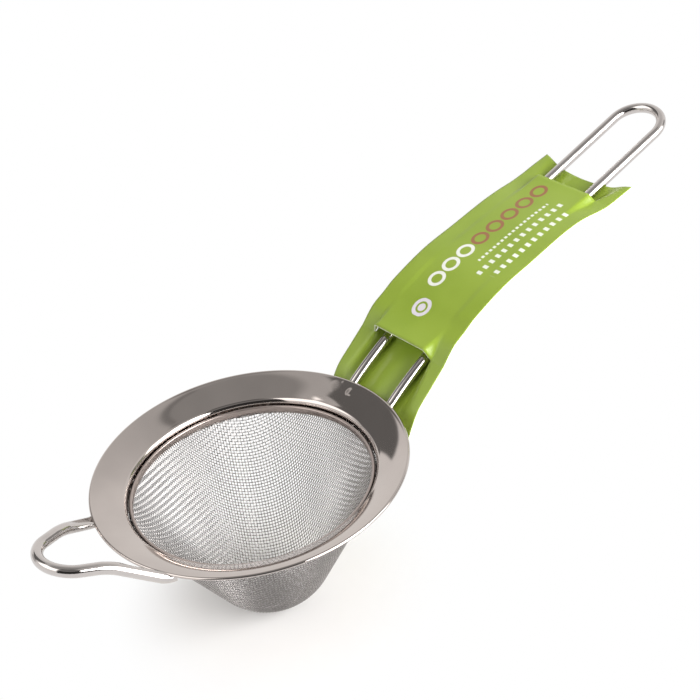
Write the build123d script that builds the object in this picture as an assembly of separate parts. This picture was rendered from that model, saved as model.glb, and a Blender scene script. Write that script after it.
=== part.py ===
from build123d import *
from math import atan2, cos, hypot, radians, sin, sqrt, tan
import os

# Conical tea strainer: a pressed funnel rim, a woven mesh cone clamped in the rim's
# collar by an inner ring, a long handle bent from one wire, a small rest hook on the far
# side of the rim, and the slit card that the strainer is sold on, woven over the handle.
#
# Millimetres. The origin is on the axis of the collar, halfway up its straight wall, which
# drops into the mouth of a cup. +Z is up along the cone's axis and +X runs to the handle.

# ---------------------------------------------------------------- driving dimensions
rim_radius = 45.0          # outer edge of the funnel rim
rim_height = 7.0           # the outer edge's top above the origin
rim_fall = 3.9             # how far the funnel falls from its edge to its shoulder
sheet = 0.6                # rim sheet
lip_depth = 1.1            # outer edge turned down, so that it isn't sharp
lip_bend = 0.3
shoulder_bend = 1.5
collar_radius = 35.75      # outside of the collar
collar_low = -1.6          # lower edge of the collar

clamp_radius = 34.55       # outside of the ring that holds the mesh in the collar
clamp_inner = 33.75
clamp_low = -0.2
clamp_high = 1.8
clamp_rounding = 0.3       # of the ring's four edges

mesh_thickness = 0.6       # two crossing wires
cone_depth = 40.65         # the tip's lowest point below the origin
cone_tip_radius = 19.9
cone_half_angle = 31.3     # degrees, between the wall and the axis
net_pitch = 6.2            # plain grid of openings that stands in for the fine weave
net_bar = 1.6
net_turn = 56.0            # degrees, the way that the weave's wires lie
net_radius = 33.5          # the cloth outside it is held in the collar and stays whole

handle_wire = 3.0          # diameters
hook_wire = 3.4
weld_bite = 0.15           # how far a spot weld sinks a wire into the sheet
wire_end_rounding = 0.4    # of the wires' cut ends, which are hidden under the rim

leg_gap = 16.5             # between the middles of the handle's two legs
leg_end_x = 38.2           # the legs' ends, welded under the funnel
leg_edge_x = 44.6          # where they pass under the rim's edge
leg_edge_bend = 9.0        # bend radius there
bend_x = 64.0              # where the two straight stretches of a leg would meet
bend_z = 16.6
bend_radius = 120.0        # of that shoulder bend
handle_rise = 13.2         # degrees, the long stretch's slope
handle_nose_x = 166.3      # middle of the wire at the hanging loop's nose

hook_end = (-39.0, 17.9)   # the hook's ends, welded under the funnel
hook_edge = (-41.4, 17.3)  # where it passes under the rim's edge
hook_knee = (-53.6, 11.4)
hook_corner = (-65.9, 6.5)
hook_knee_z = 14.1
hook_nose_z = 17.3
hook_bends = [6.0, 16.2, 9.1]  # bend radii at the edge, the knee and the corner
hook_flat = 1.0            # how far the weld presses the hook's ends flat
flat_bite = 0.05           # and how far the flat sinks into the sheet

card_width = 35.6
card_thickness = 0.5
card_gap = 0.4             # between the card and the wires, over the whole travel
slit_half = 12.6           # half the length of a slit
strip_half = 10.3          # half the width of the level part of a strip between the slits
crown_half = 6.4           # half the width of the low flap's crown, between the legs
slit_low = -5.6            # places along the long stretch, counted from the bend
slit_high = 65.5
card_low = -26.0
card_high = 75.7
card_tongue = 5.0          # how far the low flap's strip reaches under the band
card_end_radius = 56.0     # the upper end's hollow outline
card_cutter_height = 20.0  # taller than the card's bow

# ---------------------------------------------------------------- worked out from them
flange_outer = rim_radius - sheet / 2
flange_outer_z = rim_height - sheet / 2
shoulder_radius = collar_radius - sheet / 2
shoulder_z = flange_outer_z - rim_fall
flange_slope = atan2(rim_fall, flange_outer - shoulder_radius)
leg_y = leg_gap / 2
rise = radians(handle_rise)


def ring(section):
    """A section drawn beside the Z axis, turned once around it."""
    return revolve(Plane.XZ * section, axis=Axis.Z)


def bent_sheet(points, bends, thickness):
    """Section of a pressed sheet whose middle follows the points, with a bend at each corner."""
    middle = FilletPolyline(*points, radius=bends)
    return make_face(offset(middle, amount=thickness / 2, side=Side.BOTH).edges())


def seat_under_funnel(x, y, wire):
    """Height of a wire's middle where it lies against the funnel's underside."""
    radius = hypot(x, y)
    middle = flange_outer_z - (flange_outer - radius) * tan(flange_slope)
    return middle - (sheet / 2 + wire / 2 - weld_bite) / cos(flange_slope)


def seat_under_lip(wire):
    """Height of a wire's middle where it passes under the rim's turned-down edge."""
    return rim_height - lip_depth - wire / 2


def space_above_funnel():
    """All that a welded wire is pressed out of: the rim's sheet and the room above it."""
    lip_inside = rim_radius - sheet
    lip_low = rim_height - lip_depth + flat_bite

    def underside(radius):
        middle = flange_outer_z - (flange_outer - radius) * tan(flange_slope)
        return middle - (sheet / 2 - flat_bite) / cos(flange_slope)

    outline = Polyline(
        (collar_radius, underside(collar_radius)),
        (lip_inside, underside(lip_inside)),
        (lip_inside, lip_low),
        (rim_radius - flat_bite, lip_low),
        (rim_radius - flat_bite, 2 * rim_height),
        (collar_radius, 2 * rim_height),
        close=True,
    )
    return ring(make_face(outline))


def bent_wire(path, diameter):
    """A round wire swept along its path, with its cut ends eased."""
    start = Plane(origin=path @ 0, z_dir=path % 0)
    wire = sweep(start * Circle(diameter / 2), path=path)
    ends = wire.faces().filter_by(GeomType.PLANE).edges()
    return fillet(ends, wire_end_rounding)


# ---------------------------------------------------------------- rim
def make_rim():
    """Funnel-shaped ring: edge turned down, flange falling inwards, shoulder, short collar."""
    points = [
        (flange_outer, rim_height - lip_depth + sheet / 2),
        (flange_outer, flange_outer_z),
        (shoulder_radius, shoulder_z),
        (shoulder_radius, collar_low + sheet / 2),
    ]
    return ring(bent_sheet(points, [lip_bend, shoulder_bend], sheet))


# ---------------------------------------------------------------- clamp ring
def make_clamp_ring():
    """Plain band pressed into the collar over the mesh's edge."""
    width = clamp_radius - clamp_inner
    height = clamp_high - clamp_low
    middle = ((clamp_radius + clamp_inner) / 2, (clamp_high + clamp_low) / 2)
    return ring(Pos(*middle) * RectangleRounded(width, height, clamp_rounding))


# ---------------------------------------------------------------- mesh cone
def cone_line(inset):
    """Half outline of the mesh, from its clamped edge to the middle of its round tip."""
    lean = radians(cone_half_angle)
    tip = cone_tip_radius - inset
    centre_z = cone_tip_radius - cone_depth
    touch = (tip * cos(lean), centre_z - tip * sin(lean))
    edge = clamp_radius + mesh_thickness - inset
    corner_z = touch[1] + (edge - touch[0]) / tan(lean)
    wall = Polyline((edge, clamp_high), (edge, corner_z), touch)
    return wall + RadiusArc(touch, (0, centre_z - tip), tip)


def make_mesh_cone():
    """Cloth pressed to a round-tipped cone: a thin shell, opened by a grid as it is by its weave."""
    outer = cone_line(0)
    inner = cone_line(mesh_thickness)
    rim_end = Line(outer @ 0, inner @ 0)
    tip_end = Line(outer @ 1, inner @ 1)
    shell = ring(make_face(outer.edges() + inner.edges() + [rim_end, tip_end]))
    opening = net_pitch - net_bar
    reach = net_radius - opening / 3
    across = 2 * int(net_radius / net_pitch) + 2
    places = Rot(0, 0, net_turn) * GridLocations(net_pitch, net_pitch, across, across)
    inside = [place for place in places if hypot(place.position.X, place.position.Y) < reach]
    grid = Sketch() + [place * Rectangle(opening, opening) for place in inside]
    grid = grid & Circle(net_radius)
    return shell - Pos(0, 0, -cone_depth) * extrude(grid, cone_depth)


# ---------------------------------------------------------------- handle
def make_handle():
    """One wire: two legs welded under the funnel, a shoulder bend and a hanging loop."""
    along = (cos(rise), sin(rise))
    loop_run = (handle_nose_x - bend_x) / along[0] - leg_y
    loop_start = (bend_x + loop_run * along[0], bend_z + loop_run * along[1])
    nose = (loop_start[0] + leg_y * along[0], loop_start[1] + leg_y * along[1])
    profile = [
        (leg_end_x, seat_under_funnel(leg_end_x, leg_y, handle_wire)),
        (leg_edge_x, seat_under_lip(handle_wire)),
        (bend_x, bend_z),
        loop_start,
    ]
    points = [(x, leg_y, z) for x, z in profile]
    leg = FilletPolyline(*points, radius=[leg_edge_bend, bend_radius])
    other_leg = mirror(leg, about=Plane.XZ)
    loop = ThreePointArc(
        (loop_start[0], leg_y, loop_start[1]),
        (nose[0], 0, nose[1]),
        (loop_start[0], -leg_y, loop_start[1]),
    )
    return bent_wire(Wire(leg.edges() + loop.edges() + other_leg.edges()), handle_wire)


# ---------------------------------------------------------------- rest hook
def make_rest_hook():
    """Heavier wire loop that hooks over the far side of a cup or a pot."""
    edge_x, edge_y = hook_edge
    half = [
        (*hook_end, seat_under_funnel(*hook_end, hook_wire) + hook_flat),
        (edge_x, edge_y, seat_under_lip(hook_wire) + hook_flat),
        (*hook_knee, hook_knee_z),
        (*hook_corner, hook_nose_z),
    ]
    other_half = [(x, -y, z) for x, y, z in reversed(half)]
    bends = hook_bends + hook_bends[::-1]
    path = FilletPolyline(*half, *other_half, radius=bends)
    return bent_wire(Wire(path.edges()), hook_wire) - space_above_funnel()


# ---------------------------------------------------------------- card
# The card is drawn in its own frame: s runs up the handle's long stretch from the bend,
# y across it, and level counts from the middle of the legs, towards the printed side.
def leg_level(s):
    """Level of a leg's middle at s: zero on the long stretch, lower past the shoulder bend."""
    run = bend_x - leg_edge_x
    turn = atan2(bend_z - seat_under_lip(handle_wire), run) - rise
    tangent = bend_radius * tan(turn / 2)
    if s >= tangent:
        return 0.0
    if s > -tangent * cos(turn):
        return sqrt(bend_radius**2 - (tangent - s) ** 2) - bend_radius
    return s * tan(turn)


def card_section(s, strip, crown=0.0, margin=None, fold=slit_half):
    """Cut across the card at s: the strip at its own level, and level margins beyond a fold."""
    edge = card_width / 2
    half = card_thickness / 2

    def skin(offset_up):
        def at(y, level):
            return (s, y, level + offset_up)

        def side(way):
            level_part = Line(at(way * crown_half, strip), at(way * strip_half, strip))
            if margin is None:
                return [level_part]
            between = way * (fold + strip_half) / 2
            slope = Bezier(
                level_part @ 1, at(between, strip), at(between, margin), at(way * fold, margin)
            )
            return [level_part, slope, Line(slope @ 1, at(way * edge, margin))]

        left = side(-1)
        right = side(1)
        middle = Bezier(
            left[0] @ 0,
            at(-crown_half / 2, strip + crown),
            at(crown_half / 2, strip + crown),
            right[0] @ 0,
        )
        return [*left[::-1], middle, *right]

    top = skin(half)
    bottom = skin(-half)
    ends = [Line(top[0] @ 1, bottom[0] @ 1), Line(top[-1] @ 1, bottom[-1] @ 1)]
    return Face(Wire(top + bottom + ends))


def make_card():
    """Slit card: its middle band lies over the legs and its two flaps behind them."""
    clear = handle_wire / 2 + card_gap + card_thickness / 2
    low_flap = [
        (card_low, 1.2, -13.5, 17.0),
        (-21.5, 1.4, -9.3, 16.0),
        (-18.0, 1.4, -6.6, 15.3),
        (-12.0, 1.4, -4.0, 14.0),
        (slit_low, 0.8, -1.3, slit_half),
    ]
    tongue = [(slit_low, 0.8), (slit_low + card_tongue / 2, 0.4), (slit_low + card_tongue, 0.0)]
    band = [
        (slit_low, clear, -1.3),
        (0.0, clear + 0.2, 1.8),
        (5.0, 3.0, 3.0),
        (10.0, 4.0, 4.2),
        (23.0, 5.2, 5.3),
        (35.0, 4.8, 4.6),
        (48.0, 3.9, 3.8),
        (55.0, 3.0, 2.7),
        (62.0, clear + 0.2, 0.8),
        (slit_high, clear, 0.1),
    ]
    high_flap = [(slit_high, 0.1, slit_half), (71.0, -0.4, 15.5), (card_high, -0.9, 17.0)]
    panels = [
        [card_section(s, leg_level(s) - clear, crown, *side) for s, crown, *side in low_flap],
        [card_section(s, leg_level(s) - clear, crown) for s, crown in tongue],
        [card_section(s, strip, 0.0, margin) for s, strip, margin in band],
        [card_section(s, -clear, 0.0, *side) for s, *side in high_flap],
    ]
    card = loft(panels[0]) + loft(panels[1]) + loft(panels[2]) + loft(panels[3])
    hollow = card_end_radius - card_width**2 / 8 / card_end_radius
    card -= Pos(card_high + hollow, 0, 0) * Cylinder(card_end_radius, card_cutter_height)
    frame = Plane(
        origin=(bend_x, 0, bend_z),
        x_dir=(cos(rise), 0, sin(rise)),
        z_dir=(-sin(rise), 0, cos(rise)),
    )
    return frame * card


os.makedirs("parts", exist_ok=True)
pieces = {
    "rim": make_rim(),
    "clamp_ring": make_clamp_ring(),
    "mesh_cone": make_mesh_cone(),
    "handle": make_handle(),
    "rest_hook": make_rest_hook(),
    "card": make_card(),
}
for node, solid in pieces.items():
    export_step(solid, f"parts/{node}.step")
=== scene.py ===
# %% [markdown]
# # A conical tea strainer
# The strainer is a pressed steel funnel with a cone of woven wire cloth clamped in its
# collar, a long wire handle, a wire rest hook and the slit card that it is sold on. The
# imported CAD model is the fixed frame. Each of its nodes gets a finer piece here, made from
# the same sizes, so that polished surfaces reflect smoothly and the cloth is really woven.

from math import atan2, cos, hypot, pi, radians, sin, sqrt, tan

import bmesh
import bpy
from mathutils import Matrix, Quaternion, Vector


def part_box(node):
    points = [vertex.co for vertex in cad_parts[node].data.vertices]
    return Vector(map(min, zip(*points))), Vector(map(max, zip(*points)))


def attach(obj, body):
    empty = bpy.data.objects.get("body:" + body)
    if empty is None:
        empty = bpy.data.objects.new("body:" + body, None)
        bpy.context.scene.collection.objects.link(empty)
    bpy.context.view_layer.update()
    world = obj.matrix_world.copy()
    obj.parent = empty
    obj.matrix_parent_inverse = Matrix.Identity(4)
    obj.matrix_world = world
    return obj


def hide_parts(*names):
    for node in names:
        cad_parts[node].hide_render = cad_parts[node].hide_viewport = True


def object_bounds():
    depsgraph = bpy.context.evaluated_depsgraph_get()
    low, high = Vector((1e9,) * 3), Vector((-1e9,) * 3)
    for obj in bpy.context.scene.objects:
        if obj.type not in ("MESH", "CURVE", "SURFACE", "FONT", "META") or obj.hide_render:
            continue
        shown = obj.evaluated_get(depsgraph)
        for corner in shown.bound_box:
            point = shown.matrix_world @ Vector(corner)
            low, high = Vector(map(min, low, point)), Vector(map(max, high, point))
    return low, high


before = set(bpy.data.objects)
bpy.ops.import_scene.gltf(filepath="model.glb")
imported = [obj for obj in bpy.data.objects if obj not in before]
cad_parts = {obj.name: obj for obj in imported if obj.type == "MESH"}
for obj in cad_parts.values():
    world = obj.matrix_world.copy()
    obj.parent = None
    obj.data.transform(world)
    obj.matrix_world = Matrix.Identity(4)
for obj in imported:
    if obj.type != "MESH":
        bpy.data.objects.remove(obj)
cad_box = [list(corner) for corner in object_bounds()]
scene = bpy.context.scene
mm = 0.001
print("CAD box in mm:", [[round(c / mm, 1) for c in corner] for corner in cad_box])

# %% [markdown]
# ## The camera
# A long lens from about half a metre keeps the rim's ellipse almost free of perspective.
# The camera stands in front of the rest hook's side, looks a third down, and is rolled a
# little, so the handle runs up to the right corner. It is aimed at a point and then rolled
# about its own axis, which is easier to change than a full matrix.

# %% Camera
camera_place = Vector((-216.8, -381.0, 344.9)) * mm
camera_aim = Vector((49.7, 13.3, 12.0)) * mm
camera_roll = radians(-10.9)
focal_length = 102.86
sensor_width = 36.0

lens = bpy.data.cameras.new("camera")
lens.lens = focal_length
lens.sensor_width = sensor_width
lens.clip_start = 0.01
camera = bpy.data.objects.new("camera", lens)
scene.collection.objects.link(camera)
aim = (camera_aim - camera_place).to_track_quat("-Z", "Y")
camera.rotation_mode = "QUATERNION"
camera.rotation_quaternion = aim @ Quaternion((0, 0, 1), camera_roll)
camera.location = camera_place
scene.camera = camera
scene.view_settings.view_transform = "Standard"
print("camera distance in mm:", round((camera_aim - camera_place).length / mm))

# %% [markdown]
# ## A small language for shaders
# Node trees are easier to read as sums. This class wraps one socket, and adding or
# multiplying wrapped sockets adds the Math nodes. Every other node comes from one method.


# %% Shader maths
class Shade:
    """One socket of a node tree, to be used in sums as if it were a number."""

    def __init__(self, tree, socket=None):
        self.tree = tree
        self.socket = socket

    def node(self, kind, settings=None, output=0, **inputs):
        """Adds a node: its settings first, then its sockets, named with _ for a space."""
        made = self.tree.nodes.new(kind)
        for name, value in (settings or {}).items():
            if name == "stops":
                ramp = made.color_ramp
                while len(ramp.elements) < len(value):
                    ramp.elements.new(1.0)
                for stop, (place, color) in zip(ramp.elements, value):
                    stop.position = place
                    stop.color = (*color, 1.0)
            else:
                setattr(made, name, value)
        for name, value in inputs.items():
            key = int(name[1:]) if name[1:].isdigit() else name.replace("_", " ")
            feed(self.tree, value, made.inputs[key])
        return Shade(self.tree, made.outputs[output])

    def math(self, operation, *values):
        named = {f"v{i}": value for i, value in enumerate(values)}
        return self.node("ShaderNodeMath", {"operation": operation}, **named)

    def __add__(self, other):
        return self.math("ADD", self, other)

    def __sub__(self, other):
        return self.math("SUBTRACT", self, other)

    def __rsub__(self, other):
        return self.math("SUBTRACT", other, self)

    def __mul__(self, other):
        return self.math("MULTIPLY", self, other)

    def __truediv__(self, other):
        return self.math("DIVIDE", self, other)

    __radd__ = __add__
    __rmul__ = __mul__

    def step(self, low, high):
        """0 below low, 1 above high, and a smooth rise between them."""
        return self.node(
            "ShaderNodeMapRange",
            {"interpolation_type": "SMOOTHSTEP"},
            Value=self, From_Min=low, From_Max=high,
        )

    def color(self, first, second):
        """The colour first where this is 0, second where it is 1."""
        return self.node(
            "ShaderNodeMix", {"data_type": "RGBA"}, output=2, v0=self, v6=first, v7=second
        )


def feed(tree, value, socket):
    """Links a wrapped socket, or sets a plain value, to an input socket."""
    if isinstance(value, Shade):
        tree.links.new(value.socket, socket)
    elif isinstance(value, tuple) and len(value) == 3 and socket.type == "RGBA":
        socket.default_value = (*value, 1.0)
    else:
        socket.default_value = value


def new_material(name):
    """An empty Principled material: the start of its sums, and its shader."""
    material = bpy.data.materials.new(name)
    material.use_nodes = True
    tree = material.node_tree
    return material, Shade(tree), tree.nodes["Principled BSDF"]


def set_sockets(start, shader, **values):
    """Feeds the shader's sockets, named with _ for a space."""
    for name, value in values.items():
        feed(start.tree, value, shader.inputs[name.replace("_", " ")])


print("shader class ready")

# %% [markdown]
# ## The studio
# Polished steel shows the room more than itself, so the room is what makes it look like
# steel. It is painted on the world by direction, as panels hung around the table: a big white
# window on the left, a white reflector on the right, the dark side where one stands to look,
# a grey ceiling, and a dark doorway beyond the handle. The rest is a pale wall. The window and
# the reflector are two and four times as bright as plain white, so steel that faces them shows
# clean white stripes. The cost is that matt card facing the reflector comes out too bright.

# %% World
world = bpy.data.worlds.new("studio")
world.use_nodes = True
scene.world = world
room = Shade(world.node_tree)
direction = room.node("ShaderNodeTexCoord", output="Generated")
height = room.node("ShaderNodeSeparateXYZ", output="Z", Vector=direction)
elevation = height.math("ARCSINE", height) * (180 / pi)


def toward(azimuth, above):
    """Unit vector to a place in the room, in degrees around +X and above the horizon."""
    flat = cos(radians(above))
    return (flat * cos(radians(azimuth)), flat * sin(radians(azimuth)), sin(radians(above)))


def along_way(way):
    """How far a direction in the room points along a unit vector."""
    return room.node(
        "ShaderNodeVectorMath", {"operation": "DOT_PRODUCT"}, output="Value", v0=direction, v1=way
    )


def panel(azimuth, half_width, low, high, soft):
    """1 inside a panel that faces the table, in degrees, fading over soft degrees."""
    aside = along_way(toward(azimuth + 90, 0))
    off = aside.math("ARCTAN2", aside, along_way(toward(azimuth, 0))) * (180 / pi)
    inside = 1 - off.math("ABSOLUTE", off).step(half_width - soft / 2, half_width + soft / 2)
    inside = inside * elevation.step(low - soft / 2, low + soft / 2)
    return inside * (1 - elevation.step(high - soft / 2, high + soft / 2))


level = 0.95 - 0.34 * elevation.step(20, 62) - 0.24 * elevation.step(63, 69)
# how much darker, then azimuth, half width, low edge, high edge and softness in degrees
shades = [
    (0.3, (15, 32, 66, 69, 2)),  # ceiling above the handle
    (0.96, (232, 37, -91, 42, 5)),  # the side where one stands to look
    (0.65, (236, 40, 42, 76, 8)),  # above that side
    (0.4, (112, 14, -50, 24, 8)),  # wall under the doorway
    (0.65, (343, 12, -91, 24, 8)),  # corner at the far right
]
for darker, sides in shades:
    level = level * (1 - darker * panel(*sides))
# brightness, then the same five values
openings = [
    (0.17, (99, 18, 19, 57, 2)),  # doorway
    (2.2, (160, 34, 26, 60, 3)),  # window
    (4.0, (299, 30, -91, 36, 4)),  # reflector
]
for brightness, sides in openings:
    opening = panel(*sides)
    level = level * (1 - opening) + brightness * opening
feed(world.node_tree, (1.0, 0.985, 0.97), world.node_tree.nodes["Background"].inputs["Color"])
feed(world.node_tree, level, world.node_tree.nodes["Background"].inputs["Strength"])
print("world painted by direction")

# %% [markdown]
# ## The floor
# The floor is a pale sheet that the strainer stands on with its tip. What the camera and the
# steel see of it is mostly plain white, except close around the tip, where it is lit like any
# pale sheet and keeps the strainer's shadow. The place is round about the strainer's own axis,
# so that it looks the same from every side.

# %% Floor
floor_level = cad_box[0][2]
sheet_floor = bmesh.new()
bmesh.ops.create_grid(sheet_floor, x_segments=1, y_segments=1, size=3.0)
bmesh.ops.translate(sheet_floor, verts=sheet_floor.verts, vec=(0, 0, floor_level))
floor_mesh = bpy.data.meshes.new("floor")
sheet_floor.to_mesh(floor_mesh)
sheet_floor.free()
floor = bpy.data.objects.new("floor", floor_mesh)
scene.collection.objects.link(floor)

material, start, shader = new_material("pale_floor")
set_sockets(start, shader, Base_Color=(0.8, 0.79, 0.78), Roughness=0.9)
path = start.node("ShaderNodeLightPath", output="Is Camera Ray")
glossy = start.node("ShaderNodeLightPath", output="Is Glossy Ray")
through = start.node("ShaderNodeLightPath", output="Is Transmission Ray")
place = start.node("ShaderNodeTexCoord", output="Object")


def beyond(near, far):
    """0 within near mm of the strainer's tip, 1 beyond far mm."""
    away = place.node(
        "ShaderNodeVectorMath", {"operation": "DISTANCE"}, output="Value",
        v0=place, v1=(0, 0, floor_level),
    )
    return away.step(near * mm, far * mm)


seen = path.math("MAXIMUM", path, through) * beyond(20, 50)
seen = seen + glossy * beyond(30, 90)
white = start.node("ShaderNodeEmission", Color=(1.0, 1.0, 1.0), Strength=1.0)
mixed = start.node("ShaderNodeMixShader", v0=seen)
start.tree.links.new(shader.outputs[0], mixed.socket.node.inputs[1])
start.tree.links.new(white.socket, mixed.socket.node.inputs[2])
start.tree.links.new(mixed.socket, start.tree.nodes["Material Output"].inputs["Surface"])
floor_mesh.materials.append(material)
print("floor at z in mm:", round(floor_level / mm, 2))

# %% [markdown]
# ## The lamp
# One wide round lamp to the right gives the card its soft shading and the strainer a soft
# shadow. A wide lamp close by has soft edges, as a lamp behind a paper screen has.

# %% Lamp
lamp_aim = Vector((40, 0, 0)) * mm


def soft_lamp(name, azimuth, elevation, distance, size, power):
    """A round area lamp at a place in the room, turned to the strainer."""
    light = bpy.data.lights.new(name, "AREA")
    light.shape = "DISK"
    light.size = size
    light.energy = power
    holder = bpy.data.objects.new(name, light)
    place = Vector(toward(azimuth, elevation)) * distance + lamp_aim
    holder.location = place
    holder.rotation_mode = "QUATERNION"
    holder.rotation_quaternion = (lamp_aim - place).to_track_quat("-Z", "Y")
    scene.collection.objects.link(holder)
    return holder


soft_lamp("key_lamp", azimuth=286, elevation=22, distance=1.1, size=1.0, power=18.0)

# %% [markdown]
# ## Steel
# Every metal piece is stainless steel with another finish, but the cloth's darker tint is painted
# shade. One function makes them: a warm grey metal, a roughness with a little cloudiness, and a
# faint unevenness of the surface.
# The patterns read Object coordinates, which are the same for every piece, in metres.


# %% Steel finishes
def steel(name, tint, rough, cloud=0.03, ripple=0.0, ripple_size=8.0, grain=0.0, welds=()):
    """Stainless steel: tint is its colour, cloud how much its roughness varies,
    ripple the depth in mm of a slow unevenness, grain that of fine marks.
    Each weld is a place, a reach and a depth in mm, and how much rougher it is."""
    material, start, shader = new_material(name)
    place = start.node("ShaderNodeTexCoord", output="Object")
    slow = start.node(
        "ShaderNodeTexNoise", output="Fac", Vector=place, Scale=1000 / ripple_size, Detail=2.0
    )
    fine = start.node("ShaderNodeTexNoise", output="Fac", Vector=place, Scale=2500.0, Detail=3.0)
    tone = slow.step(0.3, 0.7)
    dark = tuple(part * 0.93 for part in tint)
    roughness = slow * (2 * cloud) + (rough - cloud) + fine * 0.02
    height = slow * (ripple * mm) + fine * (grain * mm)
    for middle, reach, depth, rougher in welds:
        away = place.node(
            "ShaderNodeVectorMath", {"operation": "DISTANCE"}, output="Value",
            v0=place, v1=tuple(part * mm for part in middle),
        )
        pressed = 1 - away.step(0.2 * reach * mm, reach * mm)
        height = height - pressed * (depth * mm)
        roughness = roughness + pressed * rougher
    set_sockets(
        start, shader,
        Metallic=1.0, Base_Color=tone.color(dark, tint), Roughness=roughness,
    )
    bump = start.node("ShaderNodeBump", output="Normal", Strength=1.0, Distance=1.0, Height=height)
    set_sockets(start, shader, Normal=bump)
    return material


rim_steel = steel(
    "polished_rim_steel", (0.58, 0.525, 0.495), 0.06, cloud=0.02, ripple=0.02, ripple_size=14.0,
    welds=(
        ((41.3, 4.5, 5.5), 1.9, 0.18, 0.0), ((40.7, 10.2, 5.2), 2.6, 0.05, 0.2),
        ((42.6, 9.0, 5.9), 1.1, 0.06, 0.1),
    ),
)
ring_steel = steel("satin_ring_steel", (0.50, 0.43, 0.40), 0.3, cloud=0.06, grain=0.004)
wire_steel = steel("polished_wire_steel", (0.62, 0.58, 0.56), 0.09, ripple=0.004, ripple_size=6.0)
# The cloth's tint is darker than the wires' steel: painted shade for the shaded floor seen through
# and under the cloth.
shaded_cloth_steel = steel("woven_wire_steel_painted_shade", (0.42, 0.40, 0.39), 0.16)
print("steels:", [m.name for m in (rim_steel, ring_steel, wire_steel, shaded_cloth_steel)])

# %% [markdown]
# ## Helpers for pieces
# A piece ends as an object at the origin whose place is in its mesh, and it rides on one of
# the two bodies. Bent profiles and bent wires are both drawn as a few corner points whose
# corners are then rounded with a vertex bevel, as a bender would set a radius at each bend.


# %% Piece helpers
def piece(name, mesh, body, replaced, slot, *materials):
    """An object for a finished mesh, riding on a body, with the CAD node that it replaces hidden.
    """
    for material in materials:
        mesh.materials.append(material)
    made = bpy.data.objects.new(name, mesh)
    scene.collection.objects.link(made)
    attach(made, body)
    if replaced:
        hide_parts(replaced)
    return made


def smooth_mesh(name, shape):
    """Turns a bmesh into a smooth-shaded mesh."""
    mesh = bpy.data.meshes.new(name)
    for face in shape.faces:
        face.smooth = True
    shape.to_mesh(mesh)
    shape.free()
    return mesh


def bent_line(corners, bends, degrees_each=6.0, closed=False):
    """A bmesh line through the corners, each inner corner rounded to its bend radius."""
    shape = bmesh.new()
    verts = [shape.verts.new(corner) for corner in corners]
    pairs = list(zip(verts, verts[1:]))
    if closed:
        pairs.append((verts[-1], verts[0]))
    for pair in pairs:
        shape.edges.new(pair)
    count = len(verts)
    inner = range(count) if closed else range(1, count - 1)
    for index, bend in zip(inner, bends):
        before = verts[index].co - Vector(corners[index - 1])
        after = Vector(corners[(index + 1) % count]) - verts[index].co
        turn = before.angle(after)
        if bend <= 0 or turn < radians(1):
            continue
        bmesh.ops.bevel(
            shape, geom=[verts[index]], offset=bend * tan(turn / 2), offset_type="OFFSET",
            affect="VERTICES", segments=max(2, round(turn / radians(degrees_each))),
            profile=0.5, material=-1,
        )
    return shape


def turned(shape, steps):
    """Spins a line in the XZ plane once around the Z axis."""
    bmesh.ops.spin(
        shape, geom=shape.verts[:] + shape.edges[:], cent=(0, 0, 0), axis=(0, 0, 1),
        angle=2 * pi, steps=steps, use_merge=True,
    )
    bmesh.ops.remove_doubles(shape, verts=shape.verts, dist=0.0001 * mm)
    bmesh.ops.recalc_face_normals(shape, faces=shape.faces)
    return shape


def in_order(shape):
    """Places along a bmesh line, from one end to the other."""
    end = next(vert for vert in shape.verts if len(vert.link_edges) == 1)
    places, edge, vert = [end.co.copy()], end.link_edges[0], end
    while edge:
        vert = edge.other_vert(vert)
        places.append(vert.co.copy())
        edge = next((e for e in vert.link_edges if e != edge), None)
    return places


print("helpers ready")

# %% [markdown]
# ## The funnel rim
# The rim is one pressed sheet: an edge turned down, a flange that falls inwards, a round
# shoulder and a short collar. A profile line spun around the axis gives exactly that, and a
# Solidify modifier gives the sheet its thickness. The flange gets extra rings of edges, so
# that smooth shading doesn't spread the bends over it, and reflections stay crisp.

# %% Rim
sheet = 0.6 * mm
lip_depth = 1.1 * mm
lip_bend = 0.3 * mm
shoulder_bend = 1.5 * mm
rim_low, rim_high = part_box("rim")
rim_radius = rim_high.x
rim_height = 7.0 * mm
rim_fall = 3.9 * mm
collar_radius = 35.75 * mm

flange_outer = rim_radius - sheet / 2
flange_outer_z = rim_height - sheet / 2
shoulder_radius = collar_radius - sheet / 2
shoulder_z = flange_outer_z - rim_fall
flange_slope = atan2(rim_fall, flange_outer - shoulder_radius)
flange_crown = 0.3 * mm
flange_cuts = 14
rim_steps = 256

line = bent_line(
    [
        (flange_outer, 0, rim_height - lip_depth + sheet / 2),
        (flange_outer, 0, flange_outer_z),
        (shoulder_radius, 0, shoulder_z),
        (shoulder_radius, 0, rim_low.z + 0.01 * mm),
    ],
    [lip_bend, shoulder_bend],
)
flange = max(line.edges, key=lambda edge: edge.calc_length())
inner_end, outer_end = sorted((vert.co.x for vert in flange.verts))
bmesh.ops.subdivide_edges(line, edges=[flange], cuts=flange_cuts)
for vert in line.verts:
    share = (vert.co.x - inner_end) / (outer_end - inner_end)
    if 0 < share < 1:
        vert.co.z += flange_crown * 4 * share * (1 - share)
rim_shape = turned(line, rim_steps)
rim = piece(
    "rim_sheet", smooth_mesh("rim_sheet", rim_shape),
    "strainer", "rim", "polished_rim", rim_steel,
)
wall = rim.modifiers.new("sheet", "SOLIDIFY")
wall.thickness = sheet
wall.offset = 0.0
wall.use_even_offset = True
ease = rim.modifiers.new("cut_edges", "BEVEL")
ease.width = 0.12 * mm
ease.segments = 3
ease.limit_method = "ANGLE"
ease.angle_limit = radians(50)
print("flange falls at degrees:", round(flange_slope * 180 / pi, 1))
print("rim faces:", len(rim.data.polygons))

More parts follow.
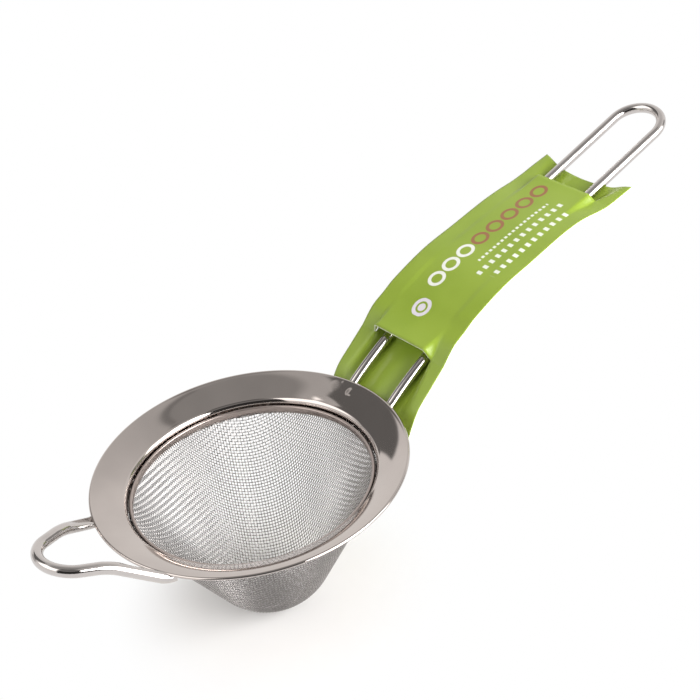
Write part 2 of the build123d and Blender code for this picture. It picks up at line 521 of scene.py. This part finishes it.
# %% [markdown]
# ## The clamp ring
# A plain satin band pressed into the collar holds the cloth's edge. Its section is a narrow
# rectangle with eased corners, spun around the axis.

# %% Clamp ring
ring_low, ring_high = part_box("clamp_ring")
ring_outer = ring_high.x
ring_inner = ring_outer - 0.8 * mm
ring_round = 0.3 * mm
section = bent_line(
    [
        (ring_outer, 0, ring_low.z),
        (ring_outer, 0, ring_high.z),
        (ring_inner, 0, ring_high.z),
        (ring_inner, 0, ring_low.z),
    ],
    [ring_round] * 4,
    degrees_each=15.0,
    closed=True,
)
ring = piece(
    "clamp_band", smooth_mesh("clamp_band", turned(section, 192)),
    "strainer", "clamp_ring", "satin_ring", ring_steel,
)
print("clamp ring faces:", len(ring.data.polygons))

# %% [markdown]
# ## The bent wires
# The handle is one wire with two legs and a loop, and the rest hook a heavier one. Each is a
# line with rounded corners that becomes a curve with a round bevel, and then a mesh. Their
# ends lie against the flange's underside, where they are spot-welded.

# %% Wires
weld_bite = 0.15 * mm


def seat_under_funnel(x, y, wire):
    """Height of a wire's middle where it lies against the funnel's underside."""
    middle = flange_outer_z - (flange_outer - hypot(x, y)) * tan(flange_slope)
    return middle - (sheet / 2 + wire / 2 - weld_bite) / cos(flange_slope)


def seat_under_lip(wire):
    """Height of a wire's middle where it passes under the rim's turned-down edge."""
    return rim_height - lip_depth - wire / 2


def wire_mesh(name, corners, bends, diameter, sides=32):
    """A round wire along a line with rounded corners, with closed ends."""
    line = bent_line(corners, bends, degrees_each=1.5)
    places = in_order(line)
    line.free()
    curve = bpy.data.curves.new(name, "CURVE")
    curve.dimensions = "3D"
    curve.bevel_depth = diameter / 2
    curve.bevel_resolution = (sides - 4) // 2
    curve.use_fill_caps = True
    spline = curve.splines.new("POLY")
    spline.points.add(len(places) - 1)
    for point, place in zip(spline.points, places):
        point.co = (*place, 1.0)
    spline.use_smooth = True
    holder = bpy.data.objects.new(name, curve)
    mesh = bpy.data.meshes.new_from_object(holder)
    bpy.data.objects.remove(holder)
    mesh.name = name
    return mesh


handle_wire = 3.0 * mm
leg_y = 8.25 * mm
rise = radians(13.2)
bend_place = Vector((64.0, 0, 16.6)) * mm
along = Vector((cos(rise), 0, sin(rise)))
nose_x = 166.3 * mm
leg_end_x = 38.2 * mm
leg_edge_x = 44.6 * mm
nose = bend_place + along * (nose_x - bend_place.x) / along.x
across = Vector((0, leg_y, 0))
leg = [
    Vector((leg_end_x, leg_y, seat_under_funnel(leg_end_x, leg_y, handle_wire))),
    Vector((leg_edge_x, leg_y, seat_under_lip(handle_wire))),
    bend_place + across,
    nose + across,
]
other_leg = [Vector((p.x, -p.y, p.z)) for p in reversed(leg)]
leg_bends = [9.0 * mm, 120.0 * mm, leg_y]
handle = piece(
    "handle_wire",
    wire_mesh("handle_wire", leg + other_leg, leg_bends + leg_bends[::-1], handle_wire),
    "strainer", "handle", "polished_wire", wire_steel,
)

hook_wire = 3.4 * mm
hook_flat = 1.0 * mm
hook_end = (-39.0 * mm, 17.9 * mm)
hook_edge = (-41.4 * mm, 17.3 * mm)
hook_knee = Vector((-53.6, 11.4, 14.1)) * mm
hook_corner = Vector((-65.9, 6.5, 17.3)) * mm
half = [
    Vector((*hook_end, seat_under_funnel(*hook_end, hook_wire) + hook_flat)),
    Vector((*hook_edge, seat_under_lip(hook_wire) + hook_flat)),
    hook_knee,
    hook_corner,
]
other_half = [Vector((p.x, -p.y, p.z)) for p in reversed(half)]
hook_bends = [6.0 * mm, 16.2 * mm, 9.1 * mm]
hook = piece(
    "rest_hook_wire",
    wire_mesh("rest_hook_wire", half + other_half, hook_bends + hook_bends[::-1], hook_wire),
    "strainer", "rest_hook", "polished_wire", wire_steel,
)
under_lip = rim_height - lip_depth
for vert in hook.data.vertices:
    out = hypot(vert.co.x, vert.co.y)
    if out < rim_radius - sheet:
        under = flange_outer_z - (flange_outer - out) * tan(flange_slope)
        under -= sheet / 2 / cos(flange_slope)
        vert.co.z = min(vert.co.z, under)
    elif out < rim_radius:
        vert.co.z = min(vert.co.z, under_lip)
print("wire faces:", len(handle.data.polygons), len(hook.data.polygons))

# %% [markdown]
# ## The woven cloth
# A flat square cloth is pressed into the cone. Its wires keep their pitch and swing against
# each other, so the squares turn into diamonds between the four places where a wire runs
# straight down to the tip. That is a net with equal sides: each new knot lies one pitch from
# its two neighbours and on the cone. It is worked out for one quarter and mirrored. Then each
# wire goes over and under its neighbours, half a wire inside and outside the middle surface.

# %% Cloth net
pitch = 0.88 * mm
cloth_wire = 0.25 * mm
cloth_middle = 0.3 * mm
half_angle = radians(31.3)
tip_radius = 19.9 * mm - cloth_middle
cone_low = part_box("mesh_cone")[0].z
tip_centre = cone_low + cloth_middle + tip_radius
tip_turn = pi / 2 - half_angle
touch_radius = tip_radius * sin(tip_turn)
touch_z = tip_centre - tip_radius * cos(tip_turn)
band_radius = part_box("mesh_cone")[1].x - cloth_middle
band_start = (band_radius - touch_radius) / sin(half_angle)
cloth_top = ring_high.z - 0.4 * mm
net_turn = radians(56)
half_crest = 0.14 * pitch


def on_cloth(place):
    """The nearest place on the cone's middle surface, and the direction out of it."""
    radius = hypot(place.x, place.y)
    out = Vector((place.x / radius, place.y / radius, 0)) if radius > 1e-9 else Vector((1, 0, 0))
    if atan2(radius, tip_centre - place.z) < tip_turn:
        way = Vector((place.x, place.y, place.z - tip_centre)).normalized()
        return Vector((0, 0, tip_centre)) + way * tip_radius, way
    up = (radius - touch_radius) * sin(half_angle) + (place.z - touch_z) * cos(half_angle)
    if up < band_start:
        near = out * (touch_radius + up * sin(half_angle))
        near.z = touch_z + up * cos(half_angle)
        return near, Vector((out.x * cos(half_angle), out.y * cos(half_angle), -sin(half_angle)))
    return Vector((out.x * band_radius, out.y * band_radius, place.z)), out


def next_knot(back, left, right):
    """The knot one pitch from both neighbours, across the mesh from the one behind them."""
    place, out = on_cloth(left + right - back)
    for _ in range(4):
        rows = Matrix((place - left, place - right, out))
        misses = [(pitch**2 - (place - near).length_squared) / 2 for near in (left, right)]
        place, out = on_cloth(place + rows.inverted() @ Vector((*misses, 0)))
    return place


def straight_wire(across_net):
    """Knots of a wire that runs from the tip straight up the cone."""
    knots = [Vector((0, 0, cone_low + cloth_middle))]
    way = Vector((0, 1, 0)) if across_net else Vector((1, 0, 0))
    while knots[-1].z < cloth_top:
        slope = on_cloth(knots[-1])[1].cross(Vector((-way.y, way.x, 0)))
        step = knots[-1] - slope * pitch
        for _ in range(3):
            step = on_cloth(step)[0]
            step = knots[-1] + (step - knots[-1]).normalized() * pitch
        knots.append(step)
    return knots[:-1]


net = {(i, 0): knot for i, knot in enumerate(straight_wire(False))}
net.update({(0, j): knot for j, knot in enumerate(straight_wire(True))})
reach = max(i for i, j in net)
for i in range(1, reach + 1):
    for j in range(1, reach + 1):
        around = [net.get(key) for key in ((i - 1, j - 1), (i - 1, j), (i, j - 1))]
        if None not in around:
            knot = next_knot(*around)
            if knot.z < cloth_top:
                net[i, j] = knot
print("knots in a quarter of the cloth:", len(net), "wires from the tip:", reach)


# %% Weave
def cloth_knot(i, j):
    """A knot in any quarter, and the direction out of the cone there."""
    knot = net.get((abs(i), abs(j)))
    if knot is None:
        return None
    place = Vector((knot.x * (1 if i >= 0 else -1), knot.y * (1 if j >= 0 else -1), knot.z))
    return place, on_cloth(place)[1]


def woven(name, along_first):
    """All wires of one direction as one mesh, over and under the other direction's."""
    curve = bpy.data.curves.new(name, "CURVE")
    curve.dimensions = "3D"
    curve.bevel_depth = cloth_wire / 2
    curve.bevel_resolution = 0
    turn = Matrix.Rotation(net_turn, 3, "Z")
    side = 1 if along_first else -1
    for wire in range(-reach, reach + 1):
        run = [
            (step, cloth_knot(step, wire) if along_first else cloth_knot(wire, step))
            for step in range(-reach, reach + 1)
        ]
        run = [(step, found) for step, found in run if found]
        if len(run) < 3:
            continue
        places = []
        for index, (step, (place, out)) in enumerate(run):
            before = run[max(index - 1, 0)][1][0]
            after = run[min(index + 1, len(run) - 1)][1][0]
            crest = (after - before).normalized() * half_crest
            over = side if (step + wire) % 2 == 0 else -side
            middle = place + out * (over * cloth_wire / 2)
            places += [turn @ (middle - crest), turn @ (middle + crest)]
        spline = curve.splines.new("POLY")
        spline.points.add(len(places) - 1)
        for point, place in zip(spline.points, places):
            point.co = (*place, 1.0)
        spline.use_smooth = True
    holder = bpy.data.objects.new(name, curve)
    mesh = bpy.data.meshes.new_from_object(holder)
    bpy.data.objects.remove(holder)
    mesh.name = name
    return mesh


warp = piece(
    "cloth_warp", woven("cloth_warp", True), "strainer", "mesh_cone", "woven_mesh", shaded_cloth_steel
)
weft = piece(
    "cloth_weft", woven("cloth_weft", False), "strainer", None, "woven_mesh", shaded_cloth_steel
)
print("cloth triangles:", [sum(len(p.vertices) - 2 for p in o.data.polygons) for o in (warp, weft)])

# %% [markdown]
# ## The slit card
# The strainer is sold on a printed card with two slits. Its middle band bows up over the
# legs and its two flaps lie behind them. Three flat grids are bent by moving their vertices:
# their levels run smoothly through a few stations along the card, and across it each strip
# leaves the level of the margins in a soft step. The margins of neighbouring grids meet and
# are merged, while the strips stay apart at the slits.

# %% Card levels
card_width = 35.6 * mm
card_thickness = 0.5 * mm
card_gap = 0.4 * mm
slit_half = 12.6 * mm
strip_half = 10.3 * mm
crown_half = 6.4 * mm
card_low, slit_low, slit_high, card_high = -26.0 * mm, -5.6 * mm, 65.5 * mm, 75.7 * mm
card_tongue = 5.0 * mm
tongue_drop = 0.6 * mm
tongue_half = slit_half - 0.1 * mm
end_radius = 56.0 * mm
bend_radius = 120.0 * mm
clear = handle_wire / 2 + card_gap + card_thickness / 2


def leg_level(s):
    """Level of a leg's middle at s along the card, counted from the shoulder bend."""
    run = bend_place.x - leg_edge_x
    turn = atan2(bend_place.z - seat_under_lip(handle_wire), run) - rise
    tangent = bend_radius * tan(turn / 2)
    if s >= tangent:
        return 0.0
    if s > -tangent * cos(turn):
        return sqrt(bend_radius**2 - (tangent - s) ** 2) - bend_radius
    return s * tan(turn)


def through(stations, s):
    """A smooth curve through (place, value) stations, read at s."""
    last = len(stations) - 1
    k = max(i for i in range(last) if i == 0 or stations[i][0] <= s)
    slopes = []
    for i in (k, k + 1):
        before, after = stations[max(i - 1, 0)], stations[min(i + 1, last)]
        slopes.append((after[1] - before[1]) / (after[0] - before[0]))
    (s0, v0), (s1, v1) = stations[k], stations[k + 1]
    run = s1 - s0
    t = (s - s0) / run
    rest = 1 - t
    return (
        v0 * (1 + 2 * t) * rest**2 + v1 * (3 - 2 * t) * t**2
        + slopes[0] * run * t * rest**2 - slopes[1] * run * rest * t**2
    )


def in_mm(*stations):
    """Stations as (place, value), given in millimetres."""
    return [(s * mm, value * mm) for s, value in stations]


flap_margin = in_mm((-26, -13.5), (-21.5, -9.3), (-18, -6.6), (-12, -4), (-5.6, -1.3))
flap_fold = in_mm((-26, 17), (-21.5, 16), (-18, 15.3), (-12, 14), (-5.6, 12.6))
flap_crown = in_mm((-26, 1.2), (-21.5, 1.4), (-12, 1.4), (-5.6, 0.8), (-0.6, 0))
band_margin = in_mm(
    (-5.6, -1.3), (0, 1.8), (5, 3), (10, 4.2), (23, 5.3),
    (35, 4.6), (48, 3.8), (55, 2.7), (62, 0.8), (65.5, 0.1),
)
band_strip = in_mm(
    (-5.6, 2.15), (0, 2.35), (5, 3), (10, 4), (23, 5.2),
    (35, 4.8), (48, 3.9), (55, 3), (62, 2.35), (65.5, 2.15),
)
end_margin = in_mm((65.5, 0.1), (71, -0.4), (75.7, -0.9))
end_fold = in_mm((65.5, 12.6), (71, 15.5), (75.7, 17))
twist = in_mm(
    (-26, 0), (-5.6, 0.3), (10, 0.6), (28, 0.9), (48, 1.3), (57, 1.2), (65.5, 0.5), (75.7, 0.5)
)


def level_at(panel, s, y):
    """Level of the card's middle surface, for one of its panels."""
    fold = slit_half
    strip = leg_level(s) - clear
    margin = strip
    if panel == "low_flap":
        margin, fold = through(flap_margin, s), through(flap_fold, s)
    elif panel == "tongue":
        margin = through(band_margin, s) - min(s - slit_low, tongue_drop)
    elif panel == "band":
        margin, strip = through(band_margin, s), through(band_strip, s)
    elif panel == "high_flap":
        margin, fold = through(end_margin, s), through(end_fold, s)
    t = min(max((abs(y) - strip_half) / (fold - strip_half), 0), 1)
    level = strip + (margin - strip) * t * t * (3 - 2 * t)
    if panel in ("low_flap", "tongue"):
        across_crown = min(abs(y) / crown_half, 1)
        level += 0.75 * through(flap_crown, s) * (1 - across_crown**2) ** 2
    return level - through(twist, s) * y / (card_width / 2)


print("card stands clear of the legs' middle by mm:", round(clear / mm, 2))

# %% Card panels
print_map = "card_print"
card_frame = Matrix((along, (0, 1, 0), (-sin(rise), 0, cos(rise)))).transposed()


def column_place(share):
    """Across the card from 0 to 1: close columns where the strips leave the margins."""
    zones = [(0.0, -card_width / 2), (0.15, -slit_half), (0.3, -strip_half)]
    zones += [(1 - a, -y) for a, y in reversed(zones)]
    for (a, low), (b, high) in zip(zones, zones[1:]):
        if share <= b + 1e-6:
            return low + (high - low) * (share - a) / (b - a)
    return card_width / 2


def end_place(y):
    """Where the card's upper end is at y, on its hollow outline."""
    hollow = sqrt(end_radius**2 - (card_width / 2) ** 2)
    return card_high + hollow - sqrt(end_radius**2 - y**2)


def panel_grid(panel, start_s, end_s, rows):
    """One panel: a flat grid with its print map, then bent to the card's level."""
    shape = bmesh.new()
    bmesh.ops.create_grid(shape, x_segments=rows, y_segments=60, size=0.5)
    print_layer = shape.loops.layers.uv.new(print_map)
    for vert in shape.verts:
        y = column_place(vert.co.y + 0.5)
        end = end_place(y) if panel == "high_flap" else end_s
        s = start_s + (vert.co.x + 0.5) * (end - start_s)
        vert.co = (s, y, 0)
    if panel == "tongue":
        beside = [vert for vert in shape.verts if abs(vert.co.y) > tongue_half]
        bmesh.ops.delete(shape, geom=beside, context="VERTS")
    for face in shape.faces:
        for loop in face.loops:
            loop[print_layer].uv = (loop.vert.co.x / mm / 100, loop.vert.co.y / mm / 100)
    for vert in shape.verts:
        s, y = vert.co.x, vert.co.y
        vert.co = bend_place + card_frame @ Vector((s, y, level_at(panel, s, y)))
    mesh = bpy.data.meshes.new(panel)
    shape.to_mesh(mesh)
    shape.free()
    return mesh


card_shape = bmesh.new()
for panel, start_s, end_s, rows in (
    ("low_flap", card_low, slit_low, 30),
    ("tongue", slit_low, slit_low + card_tongue, 10),
    ("band", slit_low, slit_high, 80),
    ("high_flap", slit_high, card_high, 16),
):
    part = panel_grid(panel, start_s, end_s, rows)
    card_shape.from_mesh(part)
    bpy.data.meshes.remove(part)
bmesh.ops.remove_doubles(card_shape, verts=card_shape.verts, dist=0.001 * mm)
for edge in card_shape.edges:
    ends = [card_frame.transposed() @ (vert.co - bend_place) for vert in edge.verts]
    beside = min(abs(end.y) for end in ends) > slit_half - 0.01 * mm
    for crease in (slit_low, slit_high):
        if beside and all(abs(end.x - crease) < 0.01 * mm for end in ends):
            edge.smooth = False
print("card faces:", len(card_shape.faces))


# %% [markdown]
# ## The card's finish
# The card is printed leaf green on both sides, satin rather than glossy, with a plain ornament
# of rings and dashes on the front. The pattern is measured along and across the flat card by
# its print map, so it bends with the card. The cut edges show pale board.

# %% Card finish
ring_step = 6.2
# place across, radius, half line, first place along and how many, in mm, and colour
rings = [
    (4.6, 2.3, 0.55, 16.0, 8, (0.30, 0.13, 0.05)),
    (4.6, 2.3, 0.55, 16.0, 3, (0.80, 0.82, 0.74)),
    (1.5, 2.6, 0.6, 6.0, 1, (0.72, 0.68, 0.74)),
    (1.5, 0.6, 0.7, 6.0, 1, (0.72, 0.68, 0.74)),
]
# place across, pitch, half length, half height, first and last place along, in mm
dashes = [
    (-2.6, 0.8, 0.45, 0.5, 27.0, 56.0),
    (-6.6, 1.3, 0.6, 0.95, 22.0, 58.0),
    (-11.4, 1.3, 0.6, 0.95, 24.0, 56.0),
]


def card_print(name, motif):
    """Satin printed card: leaf green with a little unevenness, and a plain ornament."""
    material, start, shader = new_material(name)
    place = start.node("ShaderNodeUVMap", {"uv_map": print_map})
    split = start.node("ShaderNodeSeparateXYZ", output="X", Vector=place)
    s = split * 100
    y = Shade(start.tree, split.socket.node.outputs["Y"]) * 100
    broad = start.node("ShaderNodeTexNoise", output="Fac", Vector=place, Scale=6.0, Detail=2.0)
    fibre = start.node("ShaderNodeTexNoise", output="Fac", Vector=place, Scale=260.0, Detail=4.0)
    green = broad.step(0.3, 0.7).color((0.245, 0.35, 0.027), (0.28, 0.39, 0.036))
    green = (fibre.step(0.45, 0.75) * 0.12).color(green, (0.36, 0.48, 0.12))
    if motif:
        for middle, ring_radius, half_line, first, count, tone in rings:
            cell = s.math("PINGPONG", s - first, ring_step / 2)
            round_way = (y - middle).math("POWER", y - middle, 2.0) + cell.math("POWER", cell, 2.0)
            off = round_way.math("SQRT", round_way) - ring_radius
            line = 1 - off.math("ABSOLUTE", off).step(half_line - 0.1, half_line + 0.1)
            start_s = first - ring_step / 2
            end_s = start_s + ring_step * count
            shown = s.step(start_s, start_s + 0.1) * (1 - s.step(end_s - 0.1, end_s))
            green = (line * shown).color(green, tone)
        for middle, dash_pitch, half_dash, half_height, first, last in dashes:
            cell = s.math("PINGPONG", s, dash_pitch)
            across_row = (y - middle).math("ABSOLUTE", y - middle)
            shown = s.step(first - 0.1, first + 0.1) * (1 - s.step(last - 0.1, last + 0.1))
            dash = (1 - cell.step(half_dash - 0.1, half_dash + 0.1)) * shown
            dash = dash * (1 - across_row.step(half_height - 0.1, half_height + 0.1))
            green = dash.color(green, (0.80, 0.84, 0.72))
    bump = start.node(
        "ShaderNodeBump", output="Normal", Strength=0.5, Distance=0.02 * mm, Height=fibre
    )
    set_sockets(
        start, shader,
        Base_Color=green, Roughness=0.32 + broad * 0.1, Normal=bump,
    )
    return material


card_front = card_print("printed_card_front", True)
card_back = card_print("printed_card_back", False)
card_edge, start, shader = new_material("cut_card_edge")
place = start.node("ShaderNodeTexCoord", output="Object")
fibre = start.node("ShaderNodeTexNoise", output="Fac", Vector=place, Scale=3000.0, Detail=3.0)
set_sockets(
    start, shader,
    Base_Color=fibre.color((0.60, 0.68, 0.42), (0.78, 0.82, 0.62)), Roughness=0.85,
)

card = piece(
    "slit_card", smooth_mesh("slit_card", card_shape), "card", "card", "printed_card",
    card_front, card_edge, card_back,
)
board = card.modifiers.new("board", "SOLIDIFY")
board.thickness = card_thickness
board.offset = 0.0
board.material_offset_rim = 1
board.material_offset = 2
print("card materials:", [m.name for m in card.data.materials])
